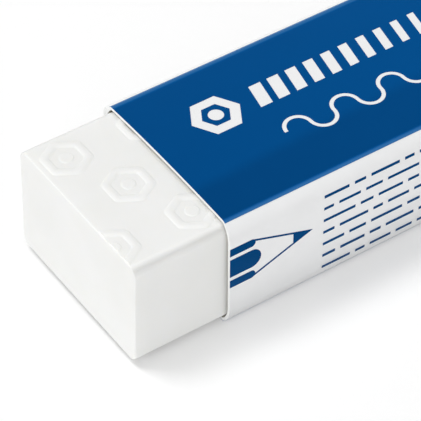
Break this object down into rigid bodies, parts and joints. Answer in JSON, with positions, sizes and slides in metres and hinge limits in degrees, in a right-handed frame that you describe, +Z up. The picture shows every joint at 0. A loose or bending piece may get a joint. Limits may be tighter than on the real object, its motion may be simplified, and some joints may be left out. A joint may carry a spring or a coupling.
{
  "type": "eraser",
  "caption": "Rectangular white vinyl eraser block with a raised pattern, in a printed card sleeve that slides along it.",
  "frame": {"origin": "middle of the block's length and width, on the face that the sleeve rests on", "axes": "+X along the block, away from its bare front end; -Y the narrow side with the pencil figure; +Z up"},
  "size_m": [0.065, 0.0232, 0.0146],
  "materials": {
    "vinyl": "matte",
    "card": "satin",
    "blue_ink": "gloss"
  },
  "bodies": {
    "block": {"eraser_block": "vinyl"},
    "sleeve": {"card_sleeve": "card", "top_print": "blue_ink", "base_print": "blue_ink", "side_print": "blue_ink"}
  },
  "joints": [
    {"name": "sleeve_slide", "type": "slide", "parent": "block", "child": "sleeve", "axis": [1, 0, 0], "range_m": [-0.0577, 0.049]}
  ]
}
